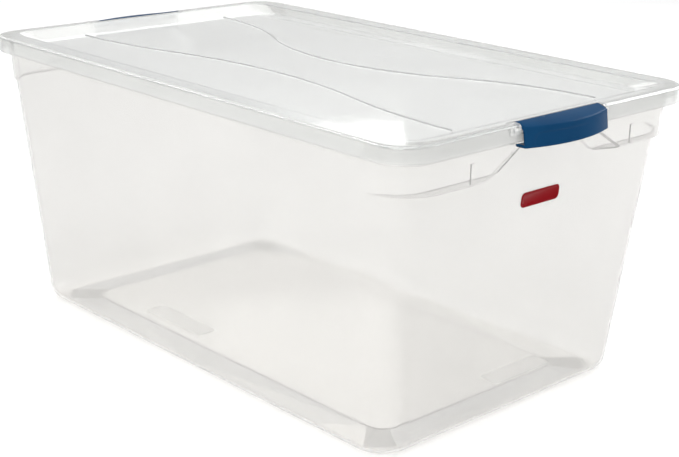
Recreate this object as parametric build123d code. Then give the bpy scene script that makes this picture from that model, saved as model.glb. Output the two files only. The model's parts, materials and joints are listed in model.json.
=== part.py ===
from build123d import *
import os
from math import atan2, degrees, hypot

# Clear storage tote with a recessed lid that is held down by a hinged latch at each end.
# Millimetres, +Z up. The origin is the middle of the footprint, on the floor.
# +X runs along the length towards the end with the badge, +Y across the width.

# Overall
LID_LENGTH = 722.0
LID_WIDTH = 450.0
HEIGHT = 338.0                 # floor to the top of the lid's rim

# Lid
LID_WALL = 2.2
LID_CORNER = 38.0              # outer corner radius in plan
LID_EDGE_RADIUS = 4.0          # rounding along the rim's outer top edge
SKIRT_DEPTH = 17.0
RIM_WIDTH_END = 17.0           # flat top of the rim on the short sides
RIM_WIDTH_SIDE = 27.0          # and on the long sides
PANEL_DROP = 8.5               # rim top down to the recessed panel
SLOPE_END = 26.0               # plan width of the slope from rim to panel, short sides
SLOPE_SIDE = 6.0               # and long sides
PANEL_CORNER = 22.0
BEAD_RADIUS = 1.5              # half round bead that stiffens the panel
BEAD_END_GAP = 5.0             # bead end to the panel's edge
FRONT_BEAD_INSET = 81.0        # bead ends to the panel's long edges
BACK_BEAD_INSET = 80.0
FRONT_BEAD_RISE = 44.0         # how far each bead swings inwards at mid length
BACK_BEAD_RISE = 86.0

# Tub
TUB_WALL = 2.4
DRAFT_END = 0.0960             # how far the walls lean out for each millimetre of height
DRAFT_SIDE = 0.085
TUB_CORNER_BASE = 40.0
TUB_CORNER_MOUTH = 46.0
BASE_ROUND = 18.0              # rounding between the walls and the floor
RIM_GAP = 0.9                  # rim's lip to the lid's skirt, all round
LIP_WALL = 2.2
LIP_REACH = 2.4                # how far the lip hangs below the lid's skirt
LIP_ROUND = 2.0
END_FLANGE = 12.0              # lip's outer face to the wall on the short sides
SIDE_FLANGE = 0.9              # and on the long sides
FLOOR_PANEL_STEP = 1.2         # middle of the floor stands up by this
FLOOR_PANEL_INSET_END = 48.0   # its edge to the base outline
FLOOR_PANEL_INSET_SIDE = 50.0
FLOOR_PANEL_CORNER = 25.0
BOWL_GAP = 1.0                 # rim to the lid's sunken middle

# Shoulder: each end stands proud of the wall below the rim, with a hand recess in its middle
SHOULDER_DROP = 54.0           # rim top down to the shoulder's underside
SHOULDER_INSET = 4.4           # lip's outer face to the shoulder's face
SHOULDER_CORNER = 54.0
SHOULDER_TUCK = 0.4            # keeps the shoulder's long sides inside the wall's face
SHOULDER_ROUND = 3.5
RECESS_DROP = 25.0             # level below the rim top at which the recess is measured
RECESS_TOP_HALF = 63.0         # its half width on the shoulder's face at that level
RECESS_BOTTOM_HALF = 111.0     # and at the shoulder's underside
RECESS_RAMP = 40.0             # how much narrower it is on the wall behind
RIB_OFFSET = 124.0             # small upright rib on each side of the recess
RIB_WIDTH = 5.0
RIB_HEIGHT = 20.0
RIB_PROUD = 1.2

# Blank raised pads moulded on the floor
PAD_HEIGHT = 0.6
PAD_CORNER = 6.0
SIDE_PAD_SIZE = (110.0, 28.0)
SIDE_PAD_X = -115.0
SIDE_PAD_INSET = 13.0          # pad edge to the floor panel's edge
END_PAD_SIZE = (26.0, 96.0)
END_PAD_Y = 87.0
END_PAD_INSET = 3.0

# Latch
LATCH_LENGTH = 128.0
LATCH_WALL = 2.5
LATCH_BOW = 11.5               # front face bulges by this at mid length
LATCH_OVERHANG = 3.6           # front face beyond the lid's skirt, at the latch's ends
LATCH_FLARE = 3.0              # front face leans out by this at its lower edge
LATCH_PROUD = 0.8              # top leg's rear edge above the rim
LATCH_TOP_FALL = 3.0           # rim top down to the front face's upper edge
LATCH_HOOK_GAP = 1.5           # lip to the hook below it
LATCH_HOOK_REACH = 3.4         # hook's overlap with the lip
LATCH_EDGE_RADIUS = 1.1
LATCH_REAR_RADIUS = 0.7
LATCH_STATIONS = 7
BARREL_RADIUS = 2.8
AXIS_DROP = 3.1                # rim top down to the hinge axis
BARREL_INSET = 5.7             # hinge axis to the lid's outer face
PIN_RADIUS = 1.8
PIN_LENGTH = 4.0
PIN_CLEARANCE = 0.08           # radial, pin to hole
PIN_END_GAP = 1.0
POCKET_END_GAP = 0.8           # latch end to the ear beside it
POCKET_BACK_GAP = 2.2          # barrel to the pocket's back wall, room for the top leg to swing
POCKET_FLOOR_GAP = 0.6         # barrel to the pocket's floor
EAR_WIDTH = 8.0
LOW_RIM_GAP = 0.3              # pocket floor to the lowered rim below it
EAR_SIDE_GAP = 1.0             # ear to the step in the rim

# Badge
BADGE_SIZE = (59.0, 16.0)
BADGE_CORNER = 5.0
BADGE_THICKNESS = 1.0
BADGE_EDGE = 0.4
BADGE_DROP = 89.0              # rim top down to the badge's middle

# Levels and places that follow from the sizes above
RIM_TOP = HEIGHT - LID_WALL                      # tub's rim, where the lid rests
SKIRT_BOTTOM = HEIGHT - SKIRT_DEPTH
LIP_BOTTOM = SKIRT_BOTTOM - LIP_REACH
PANEL_TOP = HEIGHT - PANEL_DROP
SHOULDER_Z = HEIGHT - SHOULDER_DROP
LIP_LENGTH = LID_LENGTH - 2 * (LID_WALL + RIM_GAP)
LIP_WIDTH = LID_WIDTH - 2 * (LID_WALL + RIM_GAP)
LIP_CORNER = LID_CORNER - LID_WALL - RIM_GAP
MOUTH_LENGTH = LIP_LENGTH - 2 * END_FLANGE       # tub's wall, outside, at the rim
MOUTH_WIDTH = LIP_WIDTH - 2 * SIDE_FLANGE
BASE_LENGTH = MOUTH_LENGTH - 2 * DRAFT_END * RIM_TOP
BASE_WIDTH = MOUTH_WIDTH - 2 * DRAFT_SIDE * RIM_TOP
SHOULDER_X = LIP_LENGTH / 2 - SHOULDER_INSET
INNER_RIM_LENGTH = LID_LENGTH - 2 * RIM_WIDTH_END
INNER_RIM_WIDTH = LID_WIDTH - 2 * RIM_WIDTH_SIDE
PANEL_LENGTH = INNER_RIM_LENGTH - 2 * SLOPE_END
PANEL_WIDTH = INNER_RIM_WIDTH - 2 * SLOPE_SIDE
AXIS_X = LID_LENGTH / 2 - BARREL_INSET
AXIS_Z = HEIGHT - AXIS_DROP
POCKET_BACK = AXIS_X - BARREL_RADIUS - POCKET_BACK_GAP
POCKET_FLOOR = AXIS_Z - BARREL_RADIUS - POCKET_FLOOR_GAP
POCKET_HALF = LATCH_LENGTH / 2 + POCKET_END_GAP
EAR_HALF = POCKET_HALF + EAR_WIDTH
LOW_RIM_TOP = POCKET_FLOOR - LID_WALL - LOW_RIM_GAP
LOW_RIM_HALF = EAR_HALF + EAR_SIDE_GAP
HOOK_TOP = LIP_BOTTOM - LATCH_HOOK_GAP
HOOK_BOTTOM = HOOK_TOP - LATCH_WALL
HOOK_TIP = LIP_LENGTH / 2 - LATCH_HOOK_REACH


def outline(length, width, corner, z):
    """Rounded rectangle lying at height z."""
    return Pos(0, 0, z) * RectangleRounded(length, width, corner)


def block(length, width, corner, low, high):
    """Upright block with rounded corners between two heights."""
    return extrude(outline(length, width, corner, low), high - low)


def box_between(low, high):
    """Plain box from its lowest corner to its highest."""
    size = [b - a for a, b in zip(low, high)]
    return Pos(*low) * Box(*size, align=(Align.MIN, Align.MIN, Align.MIN))


def tub_outline(z, inset=0.0):
    """Outline of the tub's leaning wall at height z, moved in by inset."""
    below = RIM_TOP - z
    corner = TUB_CORNER_MOUTH - (TUB_CORNER_MOUTH - TUB_CORNER_BASE) * below / RIM_TOP
    return outline(
        MOUTH_LENGTH - 2 * (DRAFT_END * below + inset),
        MOUTH_WIDTH - 2 * (DRAFT_SIDE * below + inset),
        corner - inset,
        z,
    )


def tub_body(inset, low, high, rounding):
    """Solid inside the tub's wall, with its lower edge rounded."""
    body = loft([tub_outline(low, inset), tub_outline(high, inset)], ruled=True)
    return fillet(body.faces().sort_by(Axis.Z)[0].edges(), rounding)


def shoulder_body(inset, low, high):
    """Both shoulders as one upright solid that runs through the tub."""
    def level(z):
        width = MOUTH_WIDTH - 2 * (DRAFT_SIDE * (RIM_TOP - z) + SHOULDER_TUCK + inset)
        return outline(2 * (SHOULDER_X - inset), width, SHOULDER_CORNER - inset, z)
    return loft([level(low), level(high)], ruled=True)


def recess_section(x, widen):
    """Outline of the hand recess at x: upright sides under the rim, then spreading downwards."""
    spread = (RECESS_BOTTOM_HALF - RECESS_TOP_HALF) / (SHOULDER_DROP - RECESS_DROP)
    top, waist, bottom = HEIGHT, HEIGHT - RECESS_DROP, SHOULDER_Z - SHOULDER_ROUND
    half_top = RECESS_TOP_HALF + widen
    half_bottom = half_top + spread * (waist - bottom)
    points = [(half_bottom, bottom), (half_top, waist), (half_top, top)]
    points += [(-y, z) for y, z in reversed(points)]
    return Plane(origin=(x, 0, 0), x_dir=(0, 1, 0), z_dir=(1, 0, 0)) * make_face(Polyline(points, close=True))


def hand_recess(grow=0.0):
    """Wedge taken out of the shoulder at the +X end, its sides ramping in towards the wall."""
    wall_x = MOUTH_LENGTH / 2 - DRAFT_END * SHOULDER_DROP - TUB_WALL
    past = SHOULDER_X + SHOULDER_INSET
    per_mm = RECESS_RAMP / (SHOULDER_X - wall_x)
    return loft([recess_section(wall_x, grow - RECESS_RAMP),
                 recess_section(past, grow + per_mm * SHOULDER_INSET)], ruled=True)


def both_ends(shape):
    """The shape and its copy turned round to the other end."""
    return [shape, Rot(0, 0, 180) * shape]


def tub_outer():
    """Outside of the tub without its rim."""
    shoulder = shoulder_body(0, SHOULDER_Z, RIM_TOP)
    shoulder = fillet(shoulder.faces().sort_by(Axis.Z)[0].edges(), SHOULDER_ROUND)
    for recess in both_ends(hand_recess()):
        shoulder -= recess
    return tub_body(0, 0, RIM_TOP, BASE_ROUND) + shoulder


def tub_cavity():
    """Space inside the tub, its wall kept even round the shoulders and the recesses."""
    above = RIM_TOP + LID_WALL
    shoulder = shoulder_body(TUB_WALL, SHOULDER_Z + TUB_WALL, above)
    for recess in both_ends(hand_recess(grow=TUB_WALL)):
        shoulder -= recess
    return tub_body(TUB_WALL, TUB_WALL, above, BASE_ROUND - TUB_WALL) + shoulder


def tub_rim():
    """Flange round the mouth with a lip hanging from its edge, inside the lid's skirt."""
    shell = block(LIP_LENGTH, LIP_WIDTH, LIP_CORNER, LIP_BOTTOM, RIM_TOP)
    shell = fillet(shell.faces().sort_by(Axis.Z)[-1].edges(), LIP_ROUND)
    under = block(LIP_LENGTH - 2 * LIP_WALL, LIP_WIDTH - 2 * LIP_WALL, LIP_CORNER - LIP_WALL,
                  LIP_BOTTOM, RIM_TOP - LIP_WALL)
    return shell - under


def low_rim():
    """Part of the rim at the +X end that steps down to clear the lid's latch pocket."""
    back = MOUTH_LENGTH / 2 - TUB_WALL
    front = LIP_LENGTH / 2
    step = LOW_RIM_HALF + LIP_WALL
    plate_bottom = LOW_RIM_TOP - LIP_WALL
    tray = box_between((back, -step, plate_bottom), (front, step, RIM_TOP - LIP_ROUND))
    return tray - box_between((back, -LOW_RIM_HALF, LOW_RIM_TOP), (front, LOW_RIM_HALF, RIM_TOP))


def latch_clearance():
    """Space over the lowered rim at the +X end."""
    return box_between((MOUTH_LENGTH / 2 - 2 * TUB_WALL, -LOW_RIM_HALF, LOW_RIM_TOP),
                       (LID_LENGTH / 2, LOW_RIM_HALF, HEIGHT))


def shoulder_rib(side):
    """Small upright rib on the shoulder at the +X end."""
    y = side * RIB_OFFSET
    bottom = SHOULDER_Z + SHOULDER_ROUND
    rib = box_between((SHOULDER_X - TUB_WALL / 2, y - RIB_WIDTH / 2, bottom),
                      (SHOULDER_X + RIB_PROUD, y + RIB_WIDTH / 2, bottom + RIB_HEIGHT))
    return fillet(rib.faces().sort_by(Axis.X)[-1].edges().filter_by(Axis.Z), RIB_PROUD * 0.8)


def floor_panel(low, high, inset=0.0):
    """Block of the floor's raised middle."""
    return block(BASE_LENGTH - 2 * (FLOOR_PANEL_INSET_END + inset),
                 BASE_WIDTH - 2 * (FLOOR_PANEL_INSET_SIDE + inset),
                 FLOOR_PANEL_CORNER - inset, low, high)


def floor_pad(size, x, y):
    """Blank raised pad on the floor."""
    low = TUB_WALL + FLOOR_PANEL_STEP / 2
    high = TUB_WALL + FLOOR_PANEL_STEP + PAD_HEIGHT
    return Pos(x, y, 0) * block(*size, PAD_CORNER, low, high)


def make_tub():
    """Thin walled tub: leaning walls, shoulders, rim with lip, and a stepped floor."""
    tub = tub_outer() + tub_rim()
    for tray in both_ends(low_rim()):
        tub += tray
    tub -= tub_cavity()
    for space in both_ends(latch_clearance()):
        tub -= space
    tub -= bowl(BOWL_GAP)
    for side in (-1, 1):
        for rib in both_ends(shoulder_rib(side)):
            tub += rib
    tub += floor_panel(TUB_WALL / 2, TUB_WALL + FLOOR_PANEL_STEP)
    tub -= floor_panel(0, FLOOR_PANEL_STEP, inset=TUB_WALL)
    side_y = -(BASE_WIDTH / 2 - FLOOR_PANEL_INSET_SIDE - SIDE_PAD_INSET - SIDE_PAD_SIZE[1] / 2)
    end_x = BASE_LENGTH / 2 - FLOOR_PANEL_INSET_END - END_PAD_INSET - END_PAD_SIZE[0] / 2
    tub += floor_pad(SIDE_PAD_SIZE, SIDE_PAD_X, side_y)
    tub += floor_pad(END_PAD_SIZE, end_x, END_PAD_Y)
    return tub


def sunken(grow_end, grow_side, low, high):
    """Tapering solid of the lid's sunken middle, with its sides moved out."""
    def level(z):
        rise = (z - PANEL_TOP) / PANEL_DROP
        length = PANEL_LENGTH + 2 * (SLOPE_END * rise + grow_end)
        width = PANEL_WIDTH + 2 * (SLOPE_SIDE * rise + grow_side)
        return outline(length, width, PANEL_CORNER + grow_side, z)
    return loft([level(low), level(high)], ruled=True)


def bowl(extra=0.0):
    """Outside of the sunken middle as seen from below, its wall even on every slope."""
    thick = LID_WALL + extra
    grow_end = thick * hypot(SLOPE_END, PANEL_DROP) / PANEL_DROP
    grow_side = thick * hypot(SLOPE_SIDE, PANEL_DROP) / PANEL_DROP
    return sunken(grow_end, grow_side, PANEL_TOP - thick, HEIGHT - LID_WALL)


def bead_path(inset, rise, side):
    """Line of a bead: four equal arcs that swing inwards and back along the panel."""
    half = PANEL_LENGTH / 2 - BEAD_END_GAP
    edge = PANEL_WIDTH / 2 - inset
    quarter, lift = half / 2, rise / 2
    radius = (quarter ** 2 + lift ** 2) / (2 * lift)
    turn = degrees(atan2(quarter, radius - lift))
    arcs = []
    start = (-half, side * edge)
    heading = (1, 0)
    for bend in (-1, 1, 1, -1):
        arc = JernArc(start=start, tangent=heading, radius=radius, arc_size=bend * side * turn)
        arcs.append(arc)
        start, heading = arc @ 1, arc % 1
    return Pos(0, 0, PANEL_TOP) * Wire(arcs)


def bead(inset, rise, side):
    """Round bead, half sunk in the panel, with rounded ends."""
    path = bead_path(inset, rise, side)
    bar = sweep(Plane(origin=path @ 0, z_dir=path % 0) * Circle(BEAD_RADIUS), path=path)
    for end in (path @ 0, path @ 1):
        bar += Pos(*end) * Sphere(BEAD_RADIUS)
    return bar


def latch_pocket_block():
    """Solid under the rim at the +X end that the latch pocket is cut from."""
    return box_between((POCKET_BACK - LID_WALL, -EAR_HALF, POCKET_FLOOR - LID_WALL),
                       (LID_LENGTH / 2 - LID_WALL / 2, EAR_HALF, HEIGHT - LID_WALL / 2))


def latch_pocket():
    """Pocket for the latch at the +X end, with a blind pin hole in each ear."""
    space = box_between((POCKET_BACK, -POCKET_HALF, POCKET_FLOOR), (LID_LENGTH, POCKET_HALF, 2 * HEIGHT))
    reach = POCKET_HALF + PIN_LENGTH - POCKET_END_GAP + PIN_END_GAP
    hole = Pos(AXIS_X, 0, AXIS_Z) * Rot(90, 0, 0) * Cylinder(PIN_RADIUS + PIN_CLEARANCE, 2 * reach)
    return space + hole


def make_lid():
    """Lid: rim with a skirt, a sunken panel with two beads, and a pocket for each latch."""
    lid = block(LID_LENGTH, LID_WIDTH, LID_CORNER, SKIRT_BOTTOM, HEIGHT)
    lid = fillet(lid.faces().sort_by(Axis.Z)[-1].edges(), LID_EDGE_RADIUS)
    channel = block(LID_LENGTH - 2 * LID_WALL, LID_WIDTH - 2 * LID_WALL, LID_CORNER - LID_WALL,
                    SKIRT_BOTTOM, HEIGHT - LID_WALL)
    channel = fillet(channel.faces().sort_by(Axis.Z)[-1].edges(), LID_EDGE_RADIUS - LID_WALL)
    lid -= channel - bowl()
    for filling in both_ends(latch_pocket_block()):
        lid += filling
    lid -= sunken(0, 0, PANEL_TOP, HEIGHT + PANEL_DROP)
    for pocket in both_ends(latch_pocket()):
        lid -= pocket
    lid += bead(FRONT_BEAD_INSET, FRONT_BEAD_RISE, -1)
    lid += bead(BACK_BEAD_INSET, BACK_BEAD_RISE, 1)
    return lid


def round_corners(face, places, radius):
    """Round the corners of a flat face that lie at the given places."""
    def listed(vertex):
        return any(hypot(vertex.X - x, vertex.Y - y) < radius / 10 for x, y in places)
    return fillet(face.vertices().filter_by(listed), radius)


def latch_section(y):
    """C shaped section of the latch at y: top leg, front wall and hook, with soft outer edges."""
    half = LATCH_LENGTH / 2
    radius = (half ** 2 + LATCH_BOW ** 2) / (2 * LATCH_BOW)
    bulge = (radius ** 2 - y ** 2) ** 0.5 - (radius - LATCH_BOW)
    front = LID_LENGTH / 2 + LATCH_OVERHANG + bulge
    low_front = front + LATCH_FLARE
    rear = AXIS_X - BARREL_RADIUS
    crest = HEIGHT + LATCH_PROUD
    brow = HEIGHT - LATCH_TOP_FALL
    face = make_face(Polyline([
        (rear, crest), (front, brow), (low_front, HOOK_BOTTOM), (HOOK_TIP, HOOK_BOTTOM),
        (HOOK_TIP, HOOK_TOP), (low_front - LATCH_WALL, HOOK_TOP),
        (front - LATCH_WALL, brow - LATCH_WALL), (rear, crest - LATCH_WALL),
    ], close=True))
    soft = [(front, brow), (low_front, HOOK_BOTTOM), (HOOK_TIP, HOOK_BOTTOM)]
    face = round_corners(face, [(rear, crest)], LATCH_REAR_RADIUS)
    face = round_corners(face, soft, LATCH_EDGE_RADIUS)
    return Plane.XZ.offset(-y) * face


def make_latch():
    """Latch at the +X end: bowed C channel with a hinge barrel and a pin at each end."""
    half = LATCH_LENGTH / 2
    places = [half * (2 * i / (LATCH_STATIONS - 1) - 1) for i in range(LATCH_STATIONS)]
    channel = loft([latch_section(y) for y in places])
    hinge = Pos(AXIS_X, 0, AXIS_Z) * Rot(90, 0, 0)
    barrel = hinge * Cylinder(BARREL_RADIUS, LATCH_LENGTH)
    pins = hinge * Cylinder(PIN_RADIUS, LATCH_LENGTH + 2 * PIN_LENGTH)
    return channel + barrel + pins


def make_badge():
    """Blank badge lying flat on the leaning wall at the +X end."""
    z = HEIGHT - BADGE_DROP
    wall_x = MOUTH_LENGTH / 2 - DRAFT_END * (RIM_TOP - z)
    normal = Vector(1, 0, -DRAFT_END)
    plate = extrude(RectangleRounded(*BADGE_SIZE, BADGE_CORNER), BADGE_THICKNESS)
    plate = fillet(plate.faces().sort_by(Axis.Z)[-1].edges(), BADGE_EDGE)
    return Plane(origin=(wall_x, 0, z), x_dir=(0, 1, 0), z_dir=normal) * plate


def main():
    os.makedirs("parts", exist_ok=True)
    latch = make_latch()
    latch_near, latch_far = both_ends(latch)
    parts = {
        "tub": make_tub(),
        "lid": make_lid(),
        "latch_near": latch_near,
        "latch_far": latch_far,
        "badge": make_badge(),
    }
    for name, shape in parts.items():
        export_step(shape, f"parts/{name}.step")


main()
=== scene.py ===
"""Gives a clear storage tote its plastics, latches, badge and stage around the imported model."""

import json
from math import pi, radians, sin, sqrt

import bmesh
import bpy
from bpy.props import FloatProperty, FloatVectorProperty, PointerProperty
from mathutils import Matrix, Vector


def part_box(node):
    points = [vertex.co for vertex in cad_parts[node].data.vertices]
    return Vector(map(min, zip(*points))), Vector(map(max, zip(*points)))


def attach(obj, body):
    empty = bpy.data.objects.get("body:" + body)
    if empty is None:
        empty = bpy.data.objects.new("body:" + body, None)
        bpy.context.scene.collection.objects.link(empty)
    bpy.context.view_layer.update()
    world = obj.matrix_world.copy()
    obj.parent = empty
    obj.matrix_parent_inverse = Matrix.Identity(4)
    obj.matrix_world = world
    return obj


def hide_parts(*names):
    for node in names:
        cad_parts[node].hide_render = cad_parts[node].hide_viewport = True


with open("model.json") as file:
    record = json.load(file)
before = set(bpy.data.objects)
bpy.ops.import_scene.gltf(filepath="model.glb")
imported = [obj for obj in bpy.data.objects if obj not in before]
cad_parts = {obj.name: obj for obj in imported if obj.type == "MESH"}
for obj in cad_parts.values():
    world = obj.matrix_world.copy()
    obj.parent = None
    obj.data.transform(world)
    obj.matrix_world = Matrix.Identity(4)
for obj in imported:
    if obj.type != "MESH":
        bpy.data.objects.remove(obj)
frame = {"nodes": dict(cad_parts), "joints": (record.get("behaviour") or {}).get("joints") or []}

bl_info = {
    "name": "Latching Storage Tote",
    "version": (1, 0, 0),
    "blender": (4, 5, 0),
    "location": "3D View > Sidebar > Tote",
    "description": "Finishes a clear storage tote: its plastics, latches, badge and stage",
    "category": "Object",
}

MM = 0.001

# Second colours that the moulded plastics drift towards
TUB_SHADE = (0.892, 0.885, 0.874, 1.0)
LID_SHADE = (0.885, 0.894, 0.888, 1.0)
LATCH_SHADE = (0.005, 0.045, 0.120, 1.0)
BADGE_SHADE = (0.24, 0.006, 0.010, 1.0)

LATCH_ROUGHNESS = 0.20
BADGE_ROUGHNESS = 0.22
CLEAR_ROUGHNESS_SPREAD = 0.03
SOLID_ROUGHNESS_SPREAD = 0.08
CLEAR_IOR = 1.49
SOLID_IOR = 1.5

# Softboxes: name, width, place, power, height when it isn't square
SOFTBOXES = (
    ("back softbox", 2.2, (0.6, 2.4, 1.5), 32.0, 1.2),
    ("front softbox", 2.0, (1.3, -2.3, 2.5), 46.0, None),
    ("left softbox", 2.2, (-2.2, 1.2, 2.1), 24.0, None),
    ("top softbox", 2.4, (0.0, 0.0, 2.8), 11.0, None),
)
SOFTBOX_AIM = (0.0, 0.0, 0.2)

# Camera: place in metres; heading about Z, angle it looks down by and roll in degrees
CAMERA_PLACE = (1.182, -1.077, 0.654)
CAMERA_HEADING = 47.7
CAMERA_DROP = 18.2
CAMERA_ROLL = 0.9
CAMERA_LENS = 74.0
CAMERA_SHIFT = 0.0388
CAMERA_REACH = 100.0

LATCH_LOW, LATCH_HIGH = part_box("latch_near")
BADGE_LOW, BADGE_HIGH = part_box("badge")
LID_LOW, LID_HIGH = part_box("lid")
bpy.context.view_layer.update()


def length(name, description, default):
    """A size property in metres."""
    return FloatProperty(name=name, description=description, default=default, unit="LENGTH",
                         subtype="DISTANCE")


def share(name, description, default):
    """A property from 0 to 1."""
    return FloatProperty(name=name, description=description, default=default, min=0.0, max=1.0,
                         subtype="FACTOR")


def tint(name, description, default):
    """A colour property."""
    return FloatVectorProperty(name=name, description=description, default=default, size=4,
                               subtype="COLOR", min=0.0, max=1.0)


class ToteClearSettings(bpy.types.PropertyGroup):
    tub_tint: tint("Tub tint", "Colour of the tub's clear plastic", (0.907, 0.900, 0.889, 1.0))
    lid_tint: tint("Lid tint", "Colour of the lid's clear plastic", (0.905, 0.913, 0.908, 1.0))
    haze: share("Haze", "How milky the clear plastic is", 0.18)
    blur: share("Blur", "Roughness of the clear plastic's surface", 0.045)
    lamp_share: share("Lamp share", "Share of lamplight that goes straight through", 0.94)
    pad_frost: share("Pad frost", "Extra roughness of the blank pads on the floor", 0.35)
    pad_tint: tint("Pad tint", "Colour of the blank pads on the floor", (0.80, 0.80, 0.79, 1.0))


class ToteLatchSettings(bpy.types.PropertyGroup):
    tint: tint("Tint", "Colour of the latches", (0.007, 0.055, 0.140, 1.0))
    gloss: share("Gloss", "Strength of the reflection on the latches", 0.03)
    wall: length("Wall", "Thickness of the latch", 2.5 * MM)
    bow: length("Bow", "How far the middle of the front stands out past its ends", 11.5 * MM)
    overhang: length("Overhang", "Lid's outer face to the front's top edge, at the ends", 3.6 * MM)
    flare: length("Flare", "How far the front's lower edge stands out past its top edge", 3.0 * MM)
    crest_drop: length("Crest drop", "Top of the rear edge down to the front's top edge", 3.8 * MM)
    hook_tip: length("Hook tip", "Rear edge to the tip of the hook", 2.0 * MM)
    edge_round: length("Edge rounding", "Rounding of the front's edges", 1.3 * MM)
    barrel: length("Barrel radius", "Radius of the hinge barrel", 2.8 * MM)
    pin: length("Pin radius", "Radius of the hinge pins", 1.8 * MM)
    pin_length: length("Pin length", "Length of each hinge pin", 4.0 * MM)
    panel_step: length("Panel step", "Depth of the long sunken panel on the front", 0.8 * MM)


class ToteBadgeSettings(bpy.types.PropertyGroup):
    tint: tint("Tint", "Colour of the badge", (0.27, 0.008, 0.012, 1.0))
    gloss: share("Gloss", "Strength of the reflection on the badge", 0.04)
    size: FloatVectorProperty(name="Size", description="Width and height", size=2,
                              default=(59.0 * MM, 16.0 * MM), unit="LENGTH")
    corner: length("Corner", "Corner radius of the badge", 5.0 * MM)
    thickness: length("Thickness", "Thickness of the badge", 1.0 * MM)
    edge_round: length("Edge rounding", "Rounding of the badge's face", 0.4 * MM)
    border: length("Border", "Width of the raised border", 1.5 * MM)
    step: length("Step", "Depth of the field inside the border", 0.3 * MM)
    lean: FloatProperty(name="Lean", description="Outward lean of the wall per height",
                        default=0.096)


class ToteStageSettings(bpy.types.PropertyGroup):
    floor_tint: tint("Floor tint", "Colour of the floor", (0.93, 0.93, 0.93, 1.0))
    floor_size: length("Floor size", "Width of the floor", 16.0)
    sky: FloatProperty(name="Sky", description="Brightness of the white surroundings",
                       default=0.62, min=0.0)


# Materials


def new_material(name):
    """An empty node material with its Principled shader and its output."""
    material = bpy.data.materials.new(name)
    material.use_nodes = True
    tree = material.node_tree
    tree.nodes.clear()
    out = tree.nodes.new("ShaderNodeOutputMaterial")
    shader = tree.nodes.new("ShaderNodeBsdfPrincipled")
    tree.links.new(shader.outputs["BSDF"], out.inputs["Surface"])
    return material, tree, shader


def set_up(node, **values):
    """Set a node's sockets by name, with underscores for spaces."""
    for name, value in values.items():
        node.inputs[name.replace("_", " ")].default_value = value
    return node


def moulded_group():
    """Node group for moulded plastic: fine grain, soft sink marks and faint cloudiness."""
    group = bpy.data.node_groups.new("moulded plastic", "ShaderNodeTree")

    def socket(name, way, kind="NodeSocketFloat", default=None):
        made = group.interface.new_socket(name=name, in_out=way, socket_type=kind)
        if default is not None:
            made.default_value = default

    socket("Tint", "INPUT", "NodeSocketColor", (0.9, 0.9, 0.9, 1.0))
    socket("Shade", "INPUT", "NodeSocketColor", (0.8, 0.8, 0.8, 1.0))
    socket("Roughness", "INPUT", default=0.3)
    socket("Roughness Spread", "INPUT", default=0.1)
    socket("Grain Scale", "INPUT", default=1100.0)
    socket("Grain Height", "INPUT", default=0.02)
    socket("Sink Scale", "INPUT", default=9.0)
    socket("Sink Height", "INPUT", default=0.2)
    socket("Cloud Scale", "INPUT", default=14.0)
    socket("Color", "OUTPUT", "NodeSocketColor")
    socket("Roughness", "OUTPUT")
    socket("Normal", "OUTPUT", "NodeSocketVector")
    nodes, links = group.nodes, group.links
    given, out = nodes.new("NodeGroupInput"), nodes.new("NodeGroupOutput")
    place = nodes.new("ShaderNodeTexCoord").outputs["Object"]

    def noise(scale, detail, rough):
        made = set_up(nodes.new("ShaderNodeTexNoise"), Detail=detail, Roughness=rough)
        links.new(place, made.inputs["Vector"])
        links.new(given.outputs[scale], made.inputs["Scale"])
        return made.outputs["Fac"]

    def multiply_add(value, factor, extra=None):
        made = nodes.new("ShaderNodeMath")
        made.operation = "MULTIPLY_ADD"
        made.inputs[2].default_value = 0.0
        links.new(value, made.inputs[0])
        links.new(given.outputs[factor], made.inputs[1])
        if extra:
            links.new(extra, made.inputs[2])
        return made.outputs["Value"]

    grain = noise("Grain Scale", 2.0, 0.5)
    sink = noise("Sink Scale", 1.0, 0.4)
    cloud = noise("Cloud Scale", 4.0, 0.6)
    spread = set_up(nodes.new("ShaderNodeMapRange"), From_Min=0.35, From_Max=0.65)
    links.new(cloud, spread.inputs["Value"])
    blend = nodes.new("ShaderNodeMix")
    blend.data_type = "RGBA"
    colours = [s for s in blend.inputs if s.type == "RGBA"]
    links.new(spread.outputs["Result"], blend.inputs[0])
    links.new(given.outputs["Tint"], colours[0])
    links.new(given.outputs["Shade"], colours[1])
    mixed = next(s for s in blend.outputs if s.type == "RGBA")
    links.new(mixed, out.inputs["Color"])
    rough = multiply_add(spread.outputs["Result"], "Roughness Spread", given.outputs["Roughness"])
    links.new(rough, out.inputs["Roughness"])
    height = multiply_add(sink, "Sink Height", multiply_add(grain, "Grain Height"))
    bump = set_up(nodes.new("ShaderNodeBump"), Strength=1.0, Distance=0.001)
    links.new(height, bump.inputs["Height"])
    links.new(bump.outputs["Normal"], out.inputs["Normal"])
    return group


def moulded(tree, shader, **values):
    """Place the moulded plastic group in a material and feed its shader."""
    node = tree.nodes.new("ShaderNodeGroup")
    node.node_tree = bpy.data.node_groups.get("moulded plastic") or moulded_group()
    set_up(node, **values)
    tree.links.new(node.outputs["Color"], shader.inputs["Base Color"])
    tree.links.new(node.outputs["Roughness"], shader.inputs["Roughness"])
    tree.links.new(node.outputs["Normal"], shader.inputs["Normal"])
    return node


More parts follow.
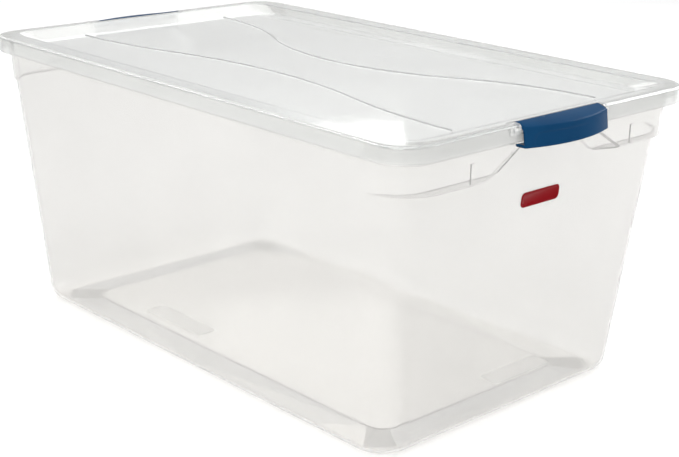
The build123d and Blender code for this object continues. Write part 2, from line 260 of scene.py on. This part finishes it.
def clear_plastic(name, colour, shade, settings):
    """Clear plastic: mostly see-through, slightly milky, and most lamplight goes through it."""
    material, tree, shader = new_material(name)
    moulded(tree, shader, Tint=colour, Shade=shade, Roughness=settings.blur,
            Roughness_Spread=CLEAR_ROUGHNESS_SPREAD, Grain_Height=0.0, Sink_Height=0.2)
    set_up(shader, IOR=CLEAR_IOR, Transmission_Weight=1.0 - settings.haze)
    through = set_up(tree.nodes.new("ShaderNodeBsdfTransparent"),
                     Color=[channel * settings.lamp_share for channel in colour[:3]] + [1.0])
    path, mix = tree.nodes.new("ShaderNodeLightPath"), tree.nodes.new("ShaderNodeMixShader")
    tree.links.new(path.outputs["Is Shadow Ray"], mix.inputs[0])
    tree.links.new(shader.outputs["BSDF"], mix.inputs[1])
    tree.links.new(through.outputs["BSDF"], mix.inputs[2])
    tree.links.new(mix.outputs["Shader"], tree.nodes["Material Output"].inputs["Surface"])
    return material


def pad_group():
    """Node group that masks a blank pad: 1 inside a box, 0 outside."""
    group = bpy.data.node_groups.new("blank pad", "ShaderNodeTree")
    for name in ("Centre", "Half Size"):
        group.interface.new_socket(name=name, in_out="INPUT", socket_type="NodeSocketVector")
    group.interface.new_socket(name="Mask", in_out="OUTPUT", socket_type="NodeSocketFloat")
    nodes, links = group.nodes, group.links
    given, out = nodes.new("NodeGroupInput"), nodes.new("NodeGroupOutput")
    value = nodes.new("ShaderNodeTexCoord").outputs["Object"]
    for operation, other in (("SUBTRACT", "Centre"), ("ABSOLUTE", None), ("SUBTRACT", "Half Size")):
        node = nodes.new("ShaderNodeVectorMath")
        node.operation = operation
        links.new(value, node.inputs[0])
        if other:
            links.new(given.outputs[other], node.inputs[1])
        value = node.outputs["Vector"]
    split = nodes.new("ShaderNodeSeparateXYZ")
    links.new(value, split.inputs[0])
    far = split.outputs["X"]
    for axis in ("Y", "Z"):
        node = nodes.new("ShaderNodeMath")
        node.operation = "MAXIMUM"
        links.new(far, node.inputs[0])
        links.new(split.outputs[axis], node.inputs[1])
        far = node.outputs["Value"]
    inside = nodes.new("ShaderNodeMath")
    inside.operation = "LESS_THAN"
    inside.inputs[1].default_value = 0.0
    links.new(far, inside.inputs[0])
    links.new(inside.outputs["Value"], out.inputs["Mask"])
    return group


# Blank pads on the floor in millimetres: centre and size of each, level, half the masked depth
FLOOR_PADS = (((-115.0, -113.5), (110.0, 28.0)), ((249.6, 87.0), (26.0, 96.0)))
PAD_TOP = 4.2
PAD_HALF_DEPTH = 0.4


def frosted_pads(material, settings):
    """Give the blank pads on the tub's floor a greyer, rougher face."""
    tree = material.node_tree
    group = pad_group()
    shader, plastic = tree.nodes["Principled BSDF"], tree.nodes["Group"]
    mask = None
    for centre, size in FLOOR_PADS:
        pad = tree.nodes.new("ShaderNodeGroup")
        pad.node_tree = group
        pad.inputs["Centre"].default_value = [c * MM for c in (*centre, PAD_TOP)]
        half = (size[0] / 2, size[1] / 2, PAD_HALF_DEPTH)
        pad.inputs["Half Size"].default_value = [h * MM for h in half]
        if mask is None:
            mask = pad.outputs["Mask"]
            continue
        both = tree.nodes.new("ShaderNodeMath")
        both.operation = "MAXIMUM"
        tree.links.new(mask, both.inputs[0])
        tree.links.new(pad.outputs["Mask"], both.inputs[1])
        mask = both.outputs["Value"]
    tinted = tree.nodes.new("ShaderNodeMix")
    tinted.data_type = "RGBA"
    colours = [s for s in tinted.inputs if s.type == "RGBA"]
    colours[1].default_value = settings.pad_tint
    tree.links.new(mask, tinted.inputs[0])
    tree.links.new(plastic.outputs["Color"], colours[0])
    tree.links.new(next(s for s in tinted.outputs if s.type == "RGBA"), shader.inputs["Base Color"])
    rougher = tree.nodes.new("ShaderNodeMath")
    rougher.operation = "MULTIPLY_ADD"
    rougher.inputs[1].default_value = settings.pad_frost
    tree.links.new(mask, rougher.inputs[0])
    tree.links.new(plastic.outputs["Roughness"], rougher.inputs[2])
    tree.links.new(rougher.outputs["Value"], shader.inputs["Roughness"])


def solid_plastic(name, colour, shade, rough, gloss, **values):
    """Opaque moulded plastic with a satin surface."""
    material, tree, shader = new_material(name)
    moulded(tree, shader, Tint=colour, Shade=shade, Roughness=rough,
            Roughness_Spread=SOLID_ROUGHNESS_SPREAD, **values)
    set_up(shader, IOR=SOLID_IOR, Specular_IOR_Level=gloss)
    return material


def finish_node(node, material):
    """Give a CAD node its material."""
    mesh = frame["nodes"][node].data
    mesh.materials.clear()
    mesh.materials.append(material)


# Modelling


def to_object(bm, name, material):
    """Turn a bmesh into a smooth shaded piece at the origin, with its normals outwards."""
    bmesh.ops.recalc_face_normals(bm, faces=bm.faces[:])
    mesh = bpy.data.meshes.new(name)
    bm.to_mesh(mesh)
    bm.free()
    mesh.polygons.foreach_set("use_smooth", [True] * len(mesh.polygons))
    mesh.materials.append(material)
    piece = bpy.data.objects.new(name, mesh)
    bpy.context.scene.collection.objects.link(piece)
    return piece


def rounded(bm, corners, radius, segments=4):
    """Round some of a flat outline's corners."""
    bmesh.ops.bevel(bm, geom=corners, offset=radius, offset_type="OFFSET", segments=segments,
                    profile=0.5, affect="VERTICES", material=-1, clamp_overlap=True)


def outline(bm, points):
    """A flat face from its corners, given as places, and its vertices in that order."""
    corners = [bm.verts.new(p) for p in points]
    bm.faces.new(corners)
    return corners


def ease(value):
    """Smooth step from 0 to 1."""
    value = min(1.0, max(0.0, value))
    return value * value * (3 - 2 * value)


def drawn_out(bm, face, step, count):
    """Extrude a face step by step, keep only the end faces, and return the last one."""
    for k in range(count):
        made = bmesh.ops.extrude_face_region(bm, geom=[face])["geom"]
        moved = [v for v in made if isinstance(v, bmesh.types.BMVert)]
        bmesh.ops.translate(bm, verts=moved, vec=step)
        if k:
            bmesh.ops.delete(bm, geom=[face], context="FACES_ONLY")
        face = next(f for f in made if isinstance(f, bmesh.types.BMFace))
    return face


LATCH_STEPS = 80                # slices along the latch
LATCH_ROWS = 22                 # cuts down its front

# The front's long sunken panel
PANEL_END_INSET = 9.5 * MM      # latch's end to the panel's rounded end
PANEL_CORNER = 9.0 * MM
PANEL_TOP_INSET = 5.2 * MM      # front's top edge to the panel
PANEL_EDGE = 1.6 * MM           # width of the step down into the panel
PANEL_FADE_START = 32 * MM      # where the panel starts to fade out
PANEL_FADE = 52 * MM            # and over what length

HINGE_SEGMENTS = 32
HINGE_EDGE = 0.4 * MM           # rounding at the ends of the barrel and the pins


def latch_bulge(y, half, bow):
    """How far the front stands out at y: an arc from 0 at the ends to bow in the middle."""
    radius = (half ** 2 + bow ** 2) / (2 * bow)
    return sqrt(radius ** 2 - y ** 2) - (radius - bow)


def sunken_panel(y, height, half, tall):
    """Depth of the front's long panel, 0 to 1: rounded at one end, fading at the other."""
    left, corner, top = -half + PANEL_END_INSET, PANEL_CORNER, tall - PANEL_TOP_INSET
    across = y - left
    if across < corner and height > top - corner:
        away = sqrt((corner - across) ** 2 + (height - top + corner) ** 2)
        inside = corner - away
    else:
        inside = min(across, top - height)
    return ease(inside / PANEL_EDGE) * (1 - ease((across - PANEL_FADE_START) / PANEL_FADE))


def latch_body(settings):
    """The +X latch's channel in bmesh: a bowed C with soft edges and a long sunken panel."""
    half = LATCH_HIGH.y - settings.pin_length
    rear, crest, low = LATCH_LOW.x, LATCH_HIGH.z, LATCH_LOW.z
    front, brow = LID_HIGH.x + settings.overhang, crest - settings.crest_drop
    low_front, wall = front + settings.flare, settings.wall
    bm = bmesh.new()
    corners = outline(bm, [Vector((x, -half, z)) for x, z in (
        (rear, crest), (front, brow), (low_front, low), (rear + settings.hook_tip, low),
        (rear + settings.hook_tip, low + wall), (low_front - wall, low + wall),
        (front - wall, brow - wall), (rear, crest - wall))])
    rounded(bm, corners[:1], settings.edge_round / 2)
    rounded(bm, corners[1:4], settings.edge_round)
    rounded(bm, corners[4:], settings.edge_round / 2, 3)
    outer_edges = [e for e in bm.edges if min(v.co.x for v in e.verts) > front - wall / 2]
    tall = max(outer_edges, key=lambda e: e.calc_length())
    bmesh.ops.subdivide_edges(bm, edges=[tall], cuts=LATCH_ROWS)
    drawn_out(bm, bm.faces[:][0], Vector((0, 2 * half / LATCH_STEPS, 0)), LATCH_STEPS)
    for v in bm.verts:
        weight = min(1.0, max(0.0, (v.co.x - rear) / (front - wall - rear)))
        bulge = latch_bulge(v.co.y, half, settings.bow)
        outer = v.co.x > front - wall / 2 and low + settings.edge_round < v.co.z < brow
        slope = Vector((v.co.x - front, v.co.z - brow))
        if outer and abs(slope.x + slope.y * settings.flare / (brow - low)) < 0.1 * MM:
            v.co.x -= settings.panel_step * sunken_panel(v.co.y, v.co.z - low, half, brow - low)
        v.co.x += bulge * weight
    return bm


def latch_hinge(bm, settings):
    """Add the hinge barrel and its pins to the latch."""
    half = LATCH_HIGH.y - settings.pin_length
    axis = Vector((LATCH_LOW.x + settings.barrel, 0, frame_axis_z()))
    for radius, reach in ((settings.barrel, half), (settings.pin, half + settings.pin_length)):
        turn = Matrix.Translation(axis) @ Matrix.Rotation(radians(90), 4, "X")
        made = bmesh.ops.create_cone(bm, cap_ends=True, segments=HINGE_SEGMENTS, radius1=radius,
                                     radius2=radius, depth=2 * reach, matrix=turn)["verts"]
        rims = {e for v in made for e in v.link_edges if len(e.link_faces) == 2
                and any(len(f.verts) > 4 for f in e.link_faces)}
        bmesh.ops.bevel(bm, geom=list(rims), offset=HINGE_EDGE, offset_type="OFFSET", segments=2,
                        profile=0.5, affect="EDGES", material=-1)


def frame_axis_z():
    """Height of the latches' hinge axis."""
    return next(j["pos_m"][2] for j in frame["joints"] if j["name"] == "latch_near_hinge")


# Pieces


class TOTE_OT_clear_shells(bpy.types.Operator):
    """Give the tub and the lid their frosted clear plastic"""
    bl_idname = "tote.clear_shells"
    bl_label = "Tub and Lid"

    def execute(self, context):
        settings = context.scene.tote_clear
        clear_tub = clear_plastic("clear tub plastic", settings.tub_tint, TUB_SHADE, settings)
        clear_lid = clear_plastic("clear lid plastic", settings.lid_tint, LID_SHADE, settings)
        frosted_pads(clear_tub, settings)
        finish_node("tub", clear_tub)
        finish_node("lid", clear_lid)
        return {"FINISHED"}


class TOTE_OT_latches(bpy.types.Operator):
    """Build the two hinged latches"""
    bl_idname = "tote.latches"
    bl_label = "Latches"

    def execute(self, context):
        settings = context.scene.tote_latch
        blue = solid_plastic("navy latch plastic", settings.tint, LATCH_SHADE, LATCH_ROUGHNESS,
                             settings.gloss, Grain_Height=0.02, Sink_Height=0.0)
        for node in ("latch_near", "latch_far"):
            bm = latch_body(settings)
            latch_hinge(bm, settings)
            if node == "latch_far":
                bmesh.ops.rotate(bm, verts=bm.verts[:], cent=(0, 0, 0),
                                 matrix=Matrix.Rotation(pi, 3, "Z"))
            piece = to_object(bm, node + "_moulding", blue)
            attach(piece, node)
            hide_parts(node)
        return {"FINISHED"}


class TOTE_OT_badge(bpy.types.Operator):
    """Build the blank badge"""
    bl_idname = "tote.badge"
    bl_label = "Badge"

    def execute(self, context):
        settings = context.scene.tote_badge
        red = solid_plastic("dark red badge plastic", settings.tint, BADGE_SHADE, BADGE_ROUGHNESS,
                            settings.gloss, Grain_Height=0.01, Sink_Height=0.0)
        wide, tall = settings.size
        bm = bmesh.new()
        corners = outline(bm, [Vector((0, y * wide / 2, z * tall / 2))
                               for y, z in ((-1, -1), (1, -1), (1, 1), (-1, 1))])
        rounded(bm, corners, settings.corner, 8)
        front = drawn_out(bm, bm.faces[:][0], Vector((settings.thickness, 0, 0)), 1)
        bmesh.ops.bevel(bm, geom=front.edges[:], offset=settings.edge_round, offset_type="OFFSET",
                        segments=3, profile=0.5, affect="EDGES", material=-1)
        front = max(bm.faces, key=lambda f: f.calc_center_median().x)
        bmesh.ops.inset_region(bm, faces=[front], thickness=settings.border, depth=0.0)
        bmesh.ops.inset_region(bm, faces=[front], thickness=settings.step, depth=-settings.step)
        foot = Vector((BADGE_LOW.x, 0, BADGE_HIGH.z + BADGE_LOW.z))
        lean = Matrix.Rotation(sin(settings.lean), 3, "Y")
        bmesh.ops.rotate(bm, verts=bm.verts[:], cent=(0, 0, 0), matrix=lean)
        low = min(v.co.x for v in bm.verts)
        height = (max(v.co.z for v in bm.verts) + min(v.co.z for v in bm.verts)) / 2
        bmesh.ops.translate(bm, verts=bm.verts[:], vec=(foot.x - low, 0, foot.z / 2 - height))
        piece = to_object(bm, "badge_plate", red)
        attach(piece, "tub")
        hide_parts("badge")
        return {"FINISHED"}


def soft_light(name, size, place, power, tall):
    """A rectangular area light aimed at the tote."""
    lamp = bpy.data.lights.new(name, "AREA")
    lamp.shape = "RECTANGLE"
    lamp.size, lamp.size_y = size, tall or size
    lamp.energy = power
    light = bpy.data.objects.new(name, lamp)
    place = Vector(place)
    turn = (place - Vector(SOFTBOX_AIM)).to_track_quat("Z", "Y").to_matrix().to_4x4()
    light.matrix_world = Matrix.Translation(place) @ turn
    bpy.context.scene.collection.objects.link(light)


class TOTE_OT_stage(bpy.types.Operator):
    """Add the floor, the soft lights and the camera"""
    bl_idname = "tote.stage"
    bl_label = "Stage"

    def execute(self, context):
        settings = context.scene.tote_stage
        bm = bmesh.new()
        bmesh.ops.create_grid(bm, x_segments=4, y_segments=4, size=settings.floor_size / 2)
        material, tree, shader = new_material("pale floor")
        set_up(shader, Base_Color=settings.floor_tint, Roughness=0.9, Specular_IOR_Level=0.1)
        floor = to_object(bm, "floor", material)

        world = bpy.data.worlds.new("white studio")
        world.use_nodes = True
        surroundings = world.node_tree.nodes["Background"]
        set_up(surroundings, Color=(1.0, 1.0, 1.0, 1.0), Strength=settings.sky)
        context.scene.world = world
        for softbox in SOFTBOXES:
            soft_light(*softbox)

        camera = bpy.data.cameras.new("camera")
        camera.lens = CAMERA_LENS
        camera.shift_x = CAMERA_SHIFT
        camera.clip_end = CAMERA_REACH
        eye = bpy.data.objects.new("camera", camera)
        turn = (Matrix.Rotation(radians(CAMERA_HEADING), 4, "Z")
                @ Matrix.Rotation(radians(90.0 - CAMERA_DROP), 4, "X")
                @ Matrix.Rotation(radians(CAMERA_ROLL), 4, "Z"))
        eye.matrix_world = Matrix.Translation(CAMERA_PLACE) @ turn
        context.scene.collection.objects.link(eye)
        context.scene.camera = eye
        context.scene.view_settings.view_transform = "Standard"
        return {"FINISHED"}


class TOTE_PT_panel(bpy.types.Panel):
    """Lists the tote's pieces and stage"""
    bl_idname = "TOTE_PT_panel"
    bl_label = "Storage Tote"
    bl_space_type = "VIEW_3D"
    bl_region_type = "UI"
    bl_category = "Tote"

    def draw(self, context):
        for step in OPERATORS:
            self.layout.operator(step.bl_idname)


SETTINGS = {
    "tote_clear": ToteClearSettings,
    "tote_latch": ToteLatchSettings,
    "tote_badge": ToteBadgeSettings,
    "tote_stage": ToteStageSettings,
}
OPERATORS = (TOTE_OT_stage, TOTE_OT_clear_shells, TOTE_OT_latches, TOTE_OT_badge)


def register():
    for group in SETTINGS.values():
        bpy.utils.register_class(group)
    for step in OPERATORS:
        bpy.utils.register_class(step)
    bpy.utils.register_class(TOTE_PT_panel)
    for name, group in SETTINGS.items():
        setattr(bpy.types.Scene, name, PointerProperty(type=group))


def unregister():
    for name in SETTINGS:
        delattr(bpy.types.Scene, name)
    bpy.utils.unregister_class(TOTE_PT_panel)
    for step in reversed(OPERATORS):
        bpy.utils.unregister_class(step)
    for group in reversed(SETTINGS.values()):
        bpy.utils.unregister_class(group)


def main():
    register()
    for step in OPERATORS:
        family, name = step.bl_idname.split(".")
        getattr(getattr(bpy.ops, family), name)()


if __name__ == "__main__":
    main()
